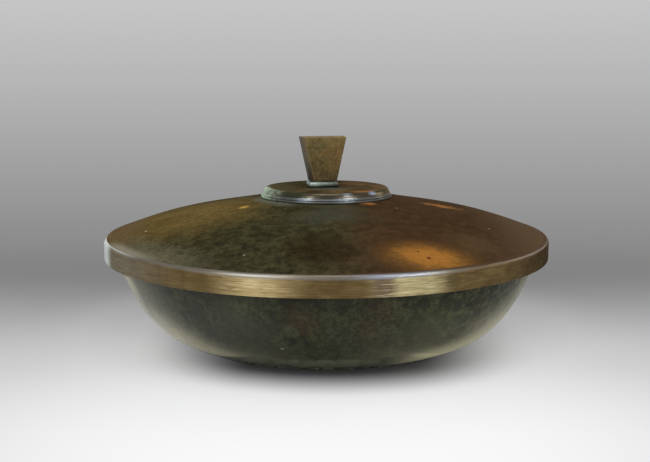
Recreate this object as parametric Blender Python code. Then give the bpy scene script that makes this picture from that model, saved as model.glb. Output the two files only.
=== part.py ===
# Bronze lidded bowl: a round bowl on a low foot ring, and a domed lid with a rim band and a knob.
# Metres, +Z up, origin on the table under the middle of the bowl.

import math

import bmesh
import bpy
from mathutils import Matrix, Vector

# Bowl
BOWL_HEIGHT = 0.0479
MOUTH_RADIUS = 0.1140
LIP_WIDTH = 0.0048
LIP_ANGLE = math.radians(74.0)
BOWL_WALL = 0.0030
BASE_ANGLE = math.radians(1.0)
BASE_PULL = 0.34
LIP_PULL = 0.72

# Foot ring under the bowl
FOOT_RADIUS = 0.0768
FOOT_WIDTH = 0.0060
FOOT_HEIGHT = 0.0015
FOOT_ROUND = 0.0004

# Lid dome and its rim band
LID_OVERHANG = 0.0060
BAND_HEIGHT = 0.0105
BAND_DROP = 0.0024
BAND_ROUND = 0.0023
BAND_EASE = 0.0006
BAND_LEDGE = 0.0012
SKIRT_CLEARANCE = 0.0009
DOME_WALL = 0.0022
DOME_RISE = 0.0196
DOME_EDGE_ANGLE = math.radians(20.8)
DOME_CROWN_ANGLE = math.radians(11.0)
DOME_EDGE_PULL = 0.45
DOME_CROWN_PULL = 0.54

# Seat ring that centres the lid in the mouth
SEAT_THICKNESS = 0.0024
SPIGOT_DEPTH = 0.0070
SPIGOT_WALL = 0.0024
SPIGOT_CLEARANCE = 0.0010
SPIGOT_EASE = 0.0006

# Moulded boss on the crown of the dome
BOSS_RADIUS = 0.0358
BOSS_BEVEL = 0.0018
BOSS_HEIGHT = 0.0049
BOSS_STEP = 0.0009
BOSS_BEAD = 0.0011
BOSS_LIP = 0.0005
BOSS_TOP_ANGLE = math.radians(-24)
BOSS_SIDE_ANGLE = math.radians(-74)
BOSS_PULL = 0.36

# Knob and the plate that it stands on
PLINTH_WIDTH = 0.0165
PLINTH_DEPTH = 0.0116
PLINTH_HEIGHT = 0.0028
PLINTH_ROUND = 0.0009
KNOB_TOP_WIDTH = 0.0250
KNOB_FOOT_WIDTH = 0.0147
KNOB_TOP_DEPTH = 0.0096
KNOB_FOOT_DEPTH = 0.0082
KNOB_HEIGHT = 0.0242
KNOB_ROUND = 0.0006
KNOB_TURN = math.radians(11.5)
KNOB_OFFSET = -0.0021

# Stud, washer and nut that hold the knob
STUD_RADIUS = 0.0025
STUD_CLEARANCE = 0.0003
STUD_GRIP = 0.0120
STUD_TAIL = 0.0022
STUD_EASE = 0.0005
WASHER_RADIUS = 0.0080
WASHER_THICKNESS = 0.0012
NUT_FLATS = 0.0090
NUT_THICKNESS = 0.0045
NUT_ROUND = 0.0003

# Gap that soldered or seated faces keep
SEAM = 0.0003

# Facets round a turned piece, and along a curve
WIDE_STEPS = 72
BOSS_STEPS = 64
STUD_STEPS = 24
CURVE_STEPS = 10
ROUND_STEPS = 4
EASE_STEPS = 2
WELD = 0.00001
SHARP_ANGLE = math.radians(32)

# Heights and radii that follow from those sizes
bowl_base = FOOT_HEIGHT + SEAM
mouth_bore = MOUTH_RADIUS - LIP_WIDTH
seat_base = BOWL_HEIGHT + SEAM
band_base = BOWL_HEIGHT - BAND_DROP
band_top = band_base + BAND_HEIGHT
lid_radius = MOUTH_RADIUS + LID_OVERHANG
skirt_radius = MOUTH_RADIUS + SKIRT_CLEARANCE
ledge_radius = skirt_radius + BAND_LEDGE
round_radius = lid_radius - BAND_ROUND
rebate_radius = round_radius + BAND_ROUND * math.sin(DOME_EDGE_ANGLE)
dome_radius = rebate_radius - SEAM
dome_edge = band_top + SEAM * math.tan(DOME_EDGE_ANGLE)
crown = band_top + DOME_RISE
boss_base = crown + SEAM
plinth_base = boss_base + BOSS_HEIGHT + SEAM
knob_base = plinth_base + PLINTH_HEIGHT + SEAM
washer_top = crown - DOME_WALL - SEAM
nut_top = washer_top - WASHER_THICKNESS - SEAM
stud_base = nut_top - NUT_THICKNESS - STUD_TAIL
stud_top = knob_base + STUD_GRIP
bore_radius = STUD_RADIUS + STUD_CLEARANCE


# Points of an outline are (radius, height) pairs

def arc(centre, radius, start, end, steps=ROUND_STEPS):
    points = []
    for step in range(steps + 1):
        angle = math.radians(start + (end - start) * step / steps)
        points.append((centre[0] + radius * math.cos(angle), centre[1] + radius * math.sin(angle)))
    return points


def curve(start, start_way, start_pull, end, end_way, end_pull, steps=CURVE_STEPS):
    first, last = Vector(start), Vector(end)
    leave = first + Vector((math.cos(start_way), math.sin(start_way))) * start_pull
    arrive = last - Vector((math.cos(end_way), math.sin(end_way))) * end_pull
    points = []
    for step in range(steps + 1):
        along = step / steps
        back = 1 - along
        near_first = first * back**3 + leave * 3 * back**2 * along
        near_last = arrive * 3 * back * along**2 + last * along**3
        points.append(tuple(near_first + near_last))
    return points


def inset(points, depth):
    moved = []
    for index, point in enumerate(points):
        before = Vector(points[max(index - 1, 0)])
        after = Vector(points[min(index + 1, len(points) - 1)])
        way = (after - before).normalized()
        moved.append((point[0] - way.y * depth, point[1] + way.x * depth))
    return moved


# Objects

def metal(name, colour, roughness):
    material = bpy.data.materials.new(name)
    material.use_nodes = True
    surface = material.node_tree.nodes["Principled BSDF"]
    surface.inputs["Base Color"].default_value = (*colour, 1.0)
    surface.inputs["Roughness"].default_value = roughness
    surface.inputs["Metallic"].default_value = 1.0
    material.diffuse_color = (*colour, 1.0)
    return material


def axis_empty(name, place, turn=0.0, parent=None):
    empty = bpy.data.objects.new(name, None)
    empty.location = place
    empty.rotation_euler = (0.0, 0.0, turn)
    empty.parent = parent
    bpy.context.collection.objects.link(empty)
    return empty


def add_piece(name, builder, material=None, parent=None):
    mesh = bpy.data.meshes.new(name)
    builder.to_mesh(mesh)
    builder.free()
    piece = bpy.data.objects.new(name, mesh)
    bpy.context.collection.objects.link(piece)
    if parent:
        piece.parent = parent
    if material:
        mesh.materials.append(material)
        mesh.shade_smooth()
        mesh.set_sharp_from_angle(angle=SHARP_ANGLE)
    return piece


def spun(outline, steps, drop=0.0):
    builder = bmesh.new()
    points = [builder.verts.new((radius, 0.0, height - drop)) for radius, height in outline]
    pairs = list(zip(points, points[1:]))
    if outline[0][0] > 0.0:
        pairs.append((points[-1], points[0]))
    edges = [builder.edges.new(pair) for pair in pairs]
    loop = points + edges
    bmesh.ops.spin(builder, geom=loop, axis=(0, 0, 1), angle=math.tau, steps=steps, use_merge=True)
    bmesh.ops.remove_doubles(builder, verts=builder.verts[:], dist=WELD)
    bmesh.ops.recalc_face_normals(builder, faces=builder.faces[:])
    return builder


def tapered(foot, top, base, height):
    builder = bmesh.new()
    bmesh.ops.create_cube(builder, size=1.0)
    for corner in builder.verts:
        width, depth = top if corner.co.z > 0 else foot
        corner.co = Vector((corner.co.x * width, corner.co.y * depth, base + (corner.co.z + 0.5) * height))
    return builder


def round_edges(piece, width, segments):
    bevel = piece.modifiers.new("round_edges", "BEVEL")
    bevel.width = width
    bevel.segments = segments
    bevel.limit_method = "ANGLE"


def bore(piece, cutter):
    cut = piece.modifiers.new("bore", "BOOLEAN")
    cut.operation = "DIFFERENCE"
    cut.object = cutter


def bowl_shell(material):
    pull_out = BASE_PULL * (MOUTH_RADIUS - FOOT_RADIUS)
    pull_down = LIP_PULL * (BOWL_HEIGHT - bowl_base)
    outside = curve(
        (FOOT_RADIUS, bowl_base), BASE_ANGLE, pull_out,
        (MOUTH_RADIUS, BOWL_HEIGHT), LIP_ANGLE, pull_down,
    )
    floor = bowl_base + BOWL_WALL
    wall = inset(outside, BOWL_WALL)[1:-1]
    inside = [(FOOT_RADIUS, floor), *[(min(radius, mouth_bore), height) for radius, height in wall]]
    outline = [(0.0, bowl_base), *outside, (mouth_bore, BOWL_HEIGHT), *reversed(inside), (0.0, floor)]
    return add_piece("bowl_shell", spun(outline, WIDE_STEPS), material)


def bowl_foot_ring(material):
    inner = FOOT_RADIUS - FOOT_WIDTH
    outline = [
        *arc((FOOT_RADIUS - FOOT_ROUND, FOOT_ROUND), FOOT_ROUND, -90, 0, EASE_STEPS),
        (FOOT_RADIUS, FOOT_HEIGHT),
        (inner, FOOT_HEIGHT),
        *arc((inner + FOOT_ROUND, FOOT_ROUND), FOOT_ROUND, 180, 270, EASE_STEPS),
    ]
    return add_piece("bowl_foot_ring", spun(outline, WIDE_STEPS), material)


def lid_rim_band(material, parent):
    rest = dome_edge - DOME_WALL - SEAM
    round_centre = band_top - BAND_ROUND * math.cos(DOME_EDGE_ANGLE)
    round_end = 90 - math.degrees(DOME_EDGE_ANGLE)
    outline = [
        *arc((lid_radius - BAND_EASE, band_base + BAND_EASE), BAND_EASE, -90, 0, EASE_STEPS),
        *arc((round_radius, round_centre), BAND_ROUND, 0, round_end),
        (rebate_radius, rest),
        (ledge_radius, rest),
        (ledge_radius, BOWL_HEIGHT),
        (skirt_radius, BOWL_HEIGHT),
        (skirt_radius, band_base),
    ]
    return add_piece("lid_rim_band", spun(outline, WIDE_STEPS, seat_base), material, parent)


def lid_dome(material, parent):
    run = dome_radius - BOSS_RADIUS
    outside = curve(
        (dome_radius, dome_edge), math.pi - DOME_EDGE_ANGLE, DOME_EDGE_PULL * run,
        (BOSS_RADIUS, crown), math.pi - DOME_CROWN_ANGLE, DOME_CROWN_PULL * run,
    )
    inside = inset(outside, DOME_WALL)
    inside[0] = (dome_radius, dome_edge - DOME_WALL)
    inside[-1] = (BOSS_RADIUS, crown - DOME_WALL)
    outline = [*outside, (bore_radius, crown), (bore_radius, crown - DOME_WALL), *reversed(inside)]
    return add_piece("lid_dome", spun(outline, WIDE_STEPS, seat_base), material, parent)


def lid_seat_ring(material, parent):
    spigot = mouth_bore - SPIGOT_CLEARANCE
    bottom = seat_base - SPIGOT_DEPTH
    top = seat_base + SEAT_THICKNESS
    outline = [
        (ledge_radius - SEAM, top),
        (ledge_radius - SEAM, seat_base),
        (spigot, seat_base),
        (spigot, bottom + SPIGOT_EASE),
        (spigot - SPIGOT_EASE, bottom),
        (spigot - SPIGOT_WALL, bottom),
        (spigot - SPIGOT_WALL, top),
    ]
    return add_piece("lid_seat_ring", spun(outline, WIDE_STEPS, seat_base), material, parent)


def knob_boss(material, parent):
    top = boss_base + BOSS_HEIGHT
    step_top = boss_base + BOSS_STEP
    bead_top = step_top + BOSS_BEAD
    groove = BOSS_RADIUS - BOSS_LIP - BOSS_BEAD / 2
    shoulder = top - bead_top
    outline = [
        (bore_radius, top),
        *curve(
            (groove - BOSS_BEVEL, top), BOSS_TOP_ANGLE, BOSS_PULL * shoulder,
            (groove, bead_top), BOSS_SIDE_ANGLE, BOSS_PULL * shoulder, ROUND_STEPS,
        )[:-1],
        *arc((groove, step_top + BOSS_BEAD / 2), BOSS_BEAD / 2, 90, -90),
        (BOSS_RADIUS, step_top),
        (BOSS_RADIUS, boss_base),
        (bore_radius, boss_base),
    ]
    return add_piece("knob_boss", spun(outline, BOSS_STEPS, seat_base), material, parent)


def stud_cutter(parent):
    end = stud_top + SEAM
    outline = [(0.0, end), (bore_radius, end), (bore_radius, stud_base), (0.0, stud_base)]
    cutter = add_piece("stud_cutter", spun(outline, STUD_STEPS, seat_base), parent=parent)
    cutter.hide_render = True
    cutter.display_type = "WIRE"
    return cutter


def knob_plinth(material, parent, cutter):
    size = (PLINTH_WIDTH, PLINTH_DEPTH)
    builder = tapered(size, size, plinth_base - seat_base, PLINTH_HEIGHT)
    plate = add_piece("knob_plinth", builder, material, parent)
    round_edges(plate, PLINTH_ROUND, 3)
    bore(plate, cutter)
    return plate


def knob_block(material, parent, cutter):
    foot = (KNOB_FOOT_WIDTH, KNOB_FOOT_DEPTH)
    top = (KNOB_TOP_WIDTH, KNOB_TOP_DEPTH)
    builder = tapered(foot, top, knob_base - seat_base, KNOB_HEIGHT)
    block = add_piece("knob_block", builder, material, parent)
    round_edges(block, KNOB_ROUND, 3)
    bore(block, cutter)
    return block


def knob_stud(material, parent):
    outline = [
        (0.0, stud_top),
        (STUD_RADIUS - STUD_EASE, stud_top),
        (STUD_RADIUS, stud_top - STUD_EASE),
        (STUD_RADIUS, stud_base + STUD_EASE),
        (STUD_RADIUS - STUD_EASE, stud_base),
        (0.0, stud_base),
    ]
    return add_piece("knob_stud", spun(outline, STUD_STEPS, seat_base), material, parent)


def knob_washer(material, parent):
    bottom = washer_top - WASHER_THICKNESS
    outline = [
        (bore_radius, washer_top),
        (WASHER_RADIUS, washer_top),
        (WASHER_RADIUS, bottom),
        (bore_radius, bottom),
    ]
    return add_piece("knob_washer", spun(outline, STUD_STEPS * 2, seat_base), material, parent)


def knob_nut(material, parent, cutter):
    builder = bmesh.new()
    corner = NUT_FLATS / 2 / math.cos(math.radians(30))
    place = Matrix.Translation((0.0, 0.0, nut_top - NUT_THICKNESS / 2 - seat_base))
    bmesh.ops.create_cone(
        builder, cap_ends=True, segments=6,
        radius1=corner, radius2=corner, depth=NUT_THICKNESS, matrix=place,
    )
    nut = add_piece("knob_nut", builder, material, parent)
    round_edges(nut, NUT_ROUND, 2)
    bore(nut, cutter)
    return nut


for old in list(bpy.data.objects):
    bpy.data.objects.remove(old, do_unlink=True)

dark_patina = metal("dark_patina", (0.055, 0.058, 0.042), 0.38)
brown_patina = metal("brown_patina", (0.105, 0.075, 0.045), 0.34)
brushed_bronze = metal("brushed_bronze", (0.300, 0.215, 0.100), 0.36)
plain_bronze = metal("plain_bronze", (0.360, 0.250, 0.120), 0.42)
olive_patina = metal("olive_patina", (0.170, 0.130, 0.062), 0.40)
green_patina = metal("green_patina", (0.190, 0.240, 0.200), 0.55)
fixing_brass = metal("fixing_brass", (0.480, 0.350, 0.160), 0.35)

lid_axis = axis_empty("lid_axis", (0.0, 0.0, seat_base))
knob_place = (KNOB_OFFSET * math.cos(KNOB_TURN), KNOB_OFFSET * math.sin(KNOB_TURN), 0.0)
knob_axis = axis_empty("knob_axis", knob_place, KNOB_TURN, lid_axis)
cutter = stud_cutter(lid_axis)

bowl_shell(dark_patina)
bowl_foot_ring(dark_patina)
lid_seat_ring(plain_bronze, lid_axis)
lid_rim_band(brushed_bronze, lid_axis)
lid_dome(brown_patina, lid_axis)
knob_boss(brown_patina, lid_axis)
knob_plinth(green_patina, knob_axis, cutter)
knob_block(olive_patina, knob_axis, cutter)
knob_stud(fixing_brass, lid_axis)
knob_washer(fixing_brass, lid_axis)
knob_nut(fixing_brass, lid_axis, cutter)
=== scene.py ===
import math

import bpy
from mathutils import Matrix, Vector


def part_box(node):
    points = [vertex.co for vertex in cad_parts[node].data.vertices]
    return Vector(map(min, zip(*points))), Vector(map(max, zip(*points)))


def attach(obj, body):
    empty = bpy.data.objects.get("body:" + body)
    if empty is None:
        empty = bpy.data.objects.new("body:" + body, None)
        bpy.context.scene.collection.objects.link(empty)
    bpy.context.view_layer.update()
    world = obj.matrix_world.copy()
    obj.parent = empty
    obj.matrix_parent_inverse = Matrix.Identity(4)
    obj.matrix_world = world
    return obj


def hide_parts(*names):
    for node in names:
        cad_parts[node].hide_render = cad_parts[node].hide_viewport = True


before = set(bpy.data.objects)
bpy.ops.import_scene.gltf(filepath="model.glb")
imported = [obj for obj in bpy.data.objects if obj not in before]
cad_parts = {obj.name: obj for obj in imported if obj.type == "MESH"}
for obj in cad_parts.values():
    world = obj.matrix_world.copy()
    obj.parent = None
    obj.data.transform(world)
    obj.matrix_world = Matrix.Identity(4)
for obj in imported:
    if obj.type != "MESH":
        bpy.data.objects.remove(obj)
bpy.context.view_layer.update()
print("frame loaded:", len(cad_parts), "nodes")


# A socket with maths on it: wire * 2, 1 - wire, wire / other
class Wire:
    def __init__(self, tree, socket):
        self.tree = tree
        self.socket = socket

    @staticmethod
    def find(sockets, key):
        if isinstance(key, int):
            return sockets[key]
        return next(socket for socket in sockets if socket.name == key and socket.enabled)

    @staticmethod
    def feed(tree, socket, value):
        if isinstance(value, Wire):
            tree.links.new(value.socket, socket)
        else:
            socket.default_value = value

    @staticmethod
    def add(tree, kind, settings=None, values=None, output=0):
        node = tree.nodes.new(kind)
        for name, value in (settings or {}).items():
            setattr(node, name, value)
        for key, value in (values or {}).items():
            Wire.feed(tree, Wire.find(node.inputs, key), value)
        return Wire(tree, Wire.find(node.outputs, output))

    def maths(self, operation, *others):
        values = dict(enumerate((self, *others)))
        return Wire.add(self.tree, "ShaderNodeMath", {"operation": operation}, values)

    def turned(self, operation, other):
        return Wire.add(self.tree, "ShaderNodeMath", {"operation": operation}, {0: other, 1: self})

    def vectorMaths(self, operation, other=None, output=0):
        values = {0: self}
        if other is not None:
            values["Scale" if operation == "SCALE" else 1] = other
        return Wire.add(self.tree, "ShaderNodeVectorMath", {"operation": operation}, values, output)

    def axis(self, name):
        return Wire.add(self.tree, "ShaderNodeSeparateXYZ", {}, {0: self}, name)

    def __add__(self, other):
        return self.maths("ADD", other)

    def __sub__(self, other):
        return self.maths("SUBTRACT", other)

    def __mul__(self, other):
        return self.maths("MULTIPLY", other)

    def __truediv__(self, other):
        return self.maths("DIVIDE", other)

    def __radd__(self, other):
        return self.turned("ADD", other)

    def __rsub__(self, other):
        return self.turned("SUBTRACT", other)

    def __rmul__(self, other):
        return self.turned("MULTIPLY", other)

    def __rtruediv__(self, other):
        return self.turned("DIVIDE", other)


def joinAxes(x, y, z):
    return Wire.add(z.tree, "ShaderNodeCombineXYZ", {}, {"X": x, "Y": y, "Z": z})


# Outlines: lists of (radius, height)
def arcLine(centre, radius, start, end, count):
    points = []
    for step in range(count + 1):
        angle = math.radians(start + (end - start) * step / count)
        points.append((centre[0] + radius * math.cos(angle), centre[1] + radius * math.sin(angle)))
    return points


# A curve that leaves and arrives at given angles, in degrees, each with its own pull
def pulledLine(start, startAngle, startPull, end, endAngle, endPull, count):
    first, last = Vector(start), Vector(end)
    startWay, endWay = math.radians(startAngle), math.radians(endAngle)
    leave = first + Vector((math.cos(startWay), math.sin(startWay))) * startPull
    arrive = last - Vector((math.cos(endWay), math.sin(endWay))) * endPull
    points = []
    for step in range(count + 1):
        along = step / count
        back = 1 - along
        point = first * back**3 + leave * 3 * back**2 * along
        point = point + arrive * 3 * back * along**2 + last * along**3
        points.append(tuple(point))
    return points


def insetLine(points, depth):
    moved = []
    for index, point in enumerate(points):
        before = Vector(points[max(index - 1, 0)])
        after = Vector(points[min(index + 1, len(points) - 1)])
        way = (after - before).normalized()
        moved.append((point[0] - way.y * depth, point[1] + way.x * depth))
    return moved


def walkLine(points, index, way, reach):
    here = Vector(points[index])
    while True:
        ahead = Vector(points[index + way])
        step = (ahead - here).length
        if step >= reach:
            return here.lerp(ahead, reach / step), index
        reach -= step
        here = ahead
        index += way


# Rounds the corners at the given indexes, over a length on both sides
def softCorners(points, corners, reach, count=6):
    points = [tuple(point) for point in points]
    for corner in sorted(corners, reverse=True):
        start, first = walkLine(points, corner, -1, reach)
        end, last = walkLine(points, corner, 1, reach)
        middle = Vector(points[corner])
        bend = []
        for step in range(count + 1):
            along = step / count
            point = start * (1 - along)**2 + middle * 2 * along * (1 - along) + end * along**2
            bend.append(tuple(point))
        points[first:last + 1] = bend
    return points


# A closed outline starts half way along its last edge, so that every corner can be rounded
def closedLine(points, reach, count):
    start = tuple((Vector(points[0]) + Vector(points[-1])) / 2)
    return softCorners([start, *points, start], range(1, len(points) + 1), reach, count)


# Marks an outline's points from an index on as the inside
def withInside(line, first):
    return [(radius, height, float(index >= first)) for index, (radius, height) in enumerate(line)]


# Starts a Geometry Nodes tree with named inputs: sizes, and others with their kinds
def newTree(name, sizes, others):
    tree = bpy.data.node_groups.new(name, "GeometryNodeTree")
    tree.interface.new_socket("Geometry", in_out="OUTPUT", socket_type="NodeSocketGeometry")
    wanted = {**others, **dict.fromkeys(sizes, "Float")}
    for label, kind in wanted.items():
        tree.interface.new_socket(label, in_out="INPUT", socket_type="NodeSocket" + kind)
    entry = tree.nodes.new("NodeGroupInput")
    return tree, {label: Wire(tree, entry.outputs[label]) for label in wanted}


# Slow unevenness of handwork, always inwards
def addWaver(shape, given, scale, detail):
    here = Wire.add(shape.tree, "GeometryNodeInputPosition")
    swell = Wire.add(shape.tree, "ShaderNodeTexNoise", {"noise_dimensions": "4D"},
                     {"Vector": here, "W": given["seed"], "Scale": scale, "Detail": detail}, "Fac")
    outward = Wire.add(shape.tree, "GeometryNodeInputNormal")
    offset = outward.vectorMaths("SCALE", (swell - 1) * given["waver"])
    return Wire.add(shape.tree, "GeometryNodeSetPosition", {}, {"Geometry": shape, "Offset": offset})


# Ends a tree: smooth faces with sharp folds, realized, with the finish on them
def endTree(shape, sharpAngle, finish):
    tree = shape.tree
    smooth = Wire.add(tree, "GeometryNodeSetShadeSmooth", {"domain": "FACE"},
                      {0: shape, "Shade Smooth": True})
    fold = Wire.add(tree, "GeometryNodeInputMeshEdgeAngle", {}, {}, "Unsigned Angle")
    sharp = fold.maths("GREATER_THAN", sharpAngle)
    creased = Wire.add(tree, "GeometryNodeSetShadeSmooth", {"domain": "EDGE"},
                       {0: smooth, "Selection": sharp, "Shade Smooth": False})
    real = Wire.add(tree, "GeometryNodeRealizeInstances", {}, {"Geometry": creased})
    finished = Wire.add(tree, "GeometryNodeSetMaterial", {}, {"Geometry": real, "Material": finish})
    leave = tree.nodes.new("NodeGroupOutput")
    tree.links.new(finished.socket, leave.inputs["Geometry"])
    return tree


# Lathe: turns an outline, given as points whose y holds their zone number
latheSizes = {
    "steps": 240, "waver": 0.0, "waverScale": 30.0, "threadDepth": 0.0, "threadPitch": 0.001,
    "halfFlats": 1.0, "sharpAngle": 0.7, "seed": 1.0,
}
latheFixed = {"flats": 6, "waverDetail": 1.0, "weld": 0.000004, "nudge": 0.00001}


def latheTree(fixed):
    sizes = [name for name in latheSizes if name != "steps"]
    others = {"outline": "Geometry", "steps": "Int", "finish": "Material"}
    tree, given = newTree("lathe", sizes, others)
    rows = Wire.add(tree, "GeometryNodeAttributeDomainSize", {"component": "MESH"},
                    {"Geometry": given["outline"]}, "Point Count")
    grid = Wire.add(tree, "GeometryNodeMeshGrid", {},
                    {"Vertices X": given["steps"] + 1, "Vertices Y": rows}, "Mesh")
    index = Wire.add(tree, "GeometryNodeInputIndex")
    ring = (index / rows + fixed["nudge"]).maths("FLOOR")
    row = index - ring * rows
    outlinePlace = Wire.add(tree, "GeometryNodeInputPosition")
    point = Wire.add(tree, "GeometryNodeSampleIndex", {"data_type": "FLOAT_VECTOR", "domain": "POINT"},
                     {"Geometry": given["outline"], "Value": outlinePlace, "Index": row}, "Value")
    radius, zone, height = point.axis("X"), point.axis("Y"), point.axis("Z")
    turn = ring / given["steps"]
    ridge = (height / given["threadPitch"] - turn).maths("FRACT") - 0.5
    radius = radius - ridge.maths("ABSOLUTE") * 2 * given["threadDepth"] * zone
    fold = ((turn * fixed["flats"] + 0.5).maths("FRACT") - 0.5) * (math.tau / fixed["flats"])
    radius = radius.maths("MINIMUM", given["halfFlats"] / fold.maths("COSINE"))
    angle = turn * math.tau
    place = joinAxes(radius * angle.maths("COSINE"), radius * angle.maths("SINE"), height)
    shaped = Wire.add(tree, "GeometryNodeSetPosition", {}, {"Geometry": grid, "Position": place})
    marked = Wire.add(tree, "GeometryNodeStoreNamedAttribute", {"data_type": "FLOAT", "domain": "POINT"},
                      {"Geometry": shaped, "Name": "zone", "Value": zone})
    welded = Wire.add(tree, "GeometryNodeMergeByDistance", {},
                      {"Geometry": marked, "Distance": fixed["weld"]})
    uneven = addWaver(welded, given, given["waverScale"], fixed["waverDetail"])
    return endTree(uneven, given["sharpAngle"], given["finish"])


# Block: a box with rounded edges that tapers to its foot, with a bore up its middle
blockSizes = (
    "topWidth", "topDepth", "footWidth", "footDepth", "height", "base", "round", "turn", "offset",
    "waver", "seed", "boreRadius", "boreTop",
)
blockFixed = {
    "rows": {"Vertices X": 33, "Vertices Y": 25, "Vertices Z": 33}, "waverScale": 220.0, "waverDetail": 2.0,
    "sharpAngle": 0.7, "drillSides": 48, "drillPast": 0.002,
}


def blockTree(fixed):
    tree, given = newTree("block", blockSizes, {"finish": "Material"})
    cube = Wire.add(tree, "GeometryNodeMeshCube", {}, {"Size": (2, 2, 2), **fixed["rows"]}, "Mesh")
    unit = Wire.add(tree, "GeometryNodeInputPosition")
    flat, core = [], []
    for axis, size in (("X", "topWidth"), ("Y", "topDepth"), ("Z", "height")):
        half = given[size] / 2
        flat.append((unit.axis(axis) * (math.pi / 2)).maths("SINE") * half)     # closer rows near the edges
        limit = half - given["round"]
        core.append(flat[-1].maths("MINIMUM", limit).maths("MAXIMUM", limit * -1))
    outer, inner = joinAxes(*flat), joinAxes(*core)
    away = outer.vectorMaths("SUBTRACT", inner).vectorMaths("NORMALIZE")
    rounded = inner.vectorMaths("ADD", away.vectorMaths("SCALE", given["round"]))
    up = rounded.axis("Z") / given["height"] + 0.5
    footX, footY = given["footWidth"] / given["topWidth"], given["footDepth"] / given["topDepth"]
    x = rounded.axis("X") * (footX + up * (1 - footX)) + given["offset"]
    y = rounded.axis("Y") * (footY + up * (1 - footY))
    cosine, sine = given["turn"].maths("COSINE"), given["turn"].maths("SINE")
    place = joinAxes(x * cosine - y * sine, x * sine + y * cosine, up * given["height"] + given["base"])
    shaped = Wire.add(tree, "GeometryNodeSetPosition", {}, {"Geometry": cube, "Position": place})
    uneven = addWaver(shaped, given, fixed["waverScale"], fixed["waverDetail"])
    deep = given["boreTop"] - given["base"] + fixed["drillPast"]
    sizes = {"Vertices": fixed["drillSides"], "Radius": given["boreRadius"], "Depth": deep}
    drill = Wire.add(tree, "GeometryNodeMeshCylinder", {}, sizes, "Mesh")
    middle = joinAxes(0.0, 0.0, given["boreTop"] - deep / 2)
    drill = Wire.add(tree, "GeometryNodeTransform", {}, {"Geometry": drill, "Translation": middle})
    bored = Wire.add(tree, "GeometryNodeMeshBoolean", {"operation": "DIFFERENCE"},
                     {0: uneven, 1: drill}, "Mesh")
    return endTree(bored, fixed["sharpAngle"], given["finish"])


lathe = latheTree(latheFixed)
block = blockTree(blockFixed)


def signedVolume(mesh):
    mesh.calc_loop_triangles()
    total = 0.0
    for triangle in mesh.loop_triangles:
        a, b, c = (mesh.vertices[index].co for index in triangle.vertices)
        total += a.dot(b.cross(c)) / 6
    return total


# Runs a tree on points, keeps the result as a plain mesh and seats it on its body
def makePiece(name, tree, points, values, node, body):
    mesh = bpy.data.meshes.new(name + "Points")
    mesh.from_pydata(points, [], [])
    piece = bpy.data.objects.new(name, mesh)
    bpy.context.scene.collection.objects.link(piece)
    modifier = piece.modifiers.new(tree.name, "NODES")
    modifier.node_group = tree
    for socket in tree.interface.items_tree:
        if socket.in_out == "INPUT" and socket.name in values:
            modifier[socket.identifier] = values[socket.name]
    graph = bpy.context.evaluated_depsgraph_get()
    made = bpy.data.meshes.new_from_object(piece.evaluated_get(graph), depsgraph=graph)
    piece.modifiers.remove(modifier)
    piece.data = made
    bpy.data.meshes.remove(mesh)
    made.name = name
    if signedVolume(made) < 0:
        made.flip_normals()
    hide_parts(node)
    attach(piece, body)
    print(name, "made:", len(made.polygons), "faces")
    return piece


def turnPiece(name, outline, look, finish, node, body):
    points = [(spot[0], spot[2] if len(spot) > 2 else 0.0, spot[1]) for spot in outline]
    return makePiece(name, lathe, points, {**latheSizes, **look, "finish": finish}, node, body)


# Shader helpers
def tone(red, green, blue):
    linear = []
    for part in (red, green, blue):
        part = part / 255
        linear.append(part / 12.92 if part <= 0.04045 else ((part + 0.055) / 1.055) ** 2.4)
    return (*linear, 1.0)


def newFinish(name):
    material = bpy.data.materials.new(name)
    material.use_nodes = True
    tree = material.node_tree
    place = Wire.add(tree, "ShaderNodeTexCoord", output="Object")
    return material, tree.nodes["Principled BSDF"], place


def radiusOf(place):
    x, y = place.axis("X"), place.axis("Y")
    return (x * x + y * y).maths("SQRT")


def zoneOf(place):
    return Wire.add(place.tree, "ShaderNodeAttribute", {"attribute_name": "zone"}, {}, "Fac")


def grain(place, scale, detail, rough, stretch=(1, 1, 1), warp=0.0, shift=(0, 0, 0)):
    values = {"Vector": place, "Location": shift, "Scale": stretch}
    moved = Wire.add(place.tree, "ShaderNodeMapping", {}, values)
    values = {"Vector": moved, "Scale": scale, "Detail": detail, "Roughness": rough, "Distortion": warp}
    return Wire.add(place.tree, "ShaderNodeTexNoise", {}, values, "Fac")


def fade(value, low, high, bottom=0.0, top=1.0):
    values = {"Value": value, "From Min": low, "From Max": high, "To Min": bottom, "To Max": top}
    smooth = {"interpolation_type": "SMOOTHSTEP"}
    return Wire.add(value.tree, "ShaderNodeMapRange", smooth, values, "Result")


def blend(mask, first, second, how="MIX"):
    values = {0: mask, 6: first, 7: second}
    return Wire.add(mask.tree, "ShaderNodeMix", {"data_type": "RGBA", "blend_type": how}, values, 2)


# Spots of one kind: ragged is how far a grain breaks the outline, stretch above 1 narrows along that axis
def spots(*centres, **sizes):
    return {"at": centres, "ragged": 0.0, "stretch": (1, 1, 1), "share": 1.0, **sizes}


# A soft round mask about one centre
def patch(place, centre, spot, rough=None):
    offset = place.vectorMaths("SUBTRACT", centre).vectorMaths("MULTIPLY", spot["stretch"])
    away = offset.vectorMaths("LENGTH", output="Value")
    if rough is not None:
        away = away + (rough - 0.5) * spot["ragged"]
    return fade(away, spot["reach"], spot["reach"] - spot["edge"], 0.0, spot["share"])


# One mask of all the spots of a kind
def spotMask(place, spot, rough=None):
    mask = patch(place, spot["at"][0], spot, rough)
    for centre in spot["at"][1:]:
        mask = mask.maths("MAXIMUM", patch(place, centre, spot, rough))
    return mask


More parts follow.
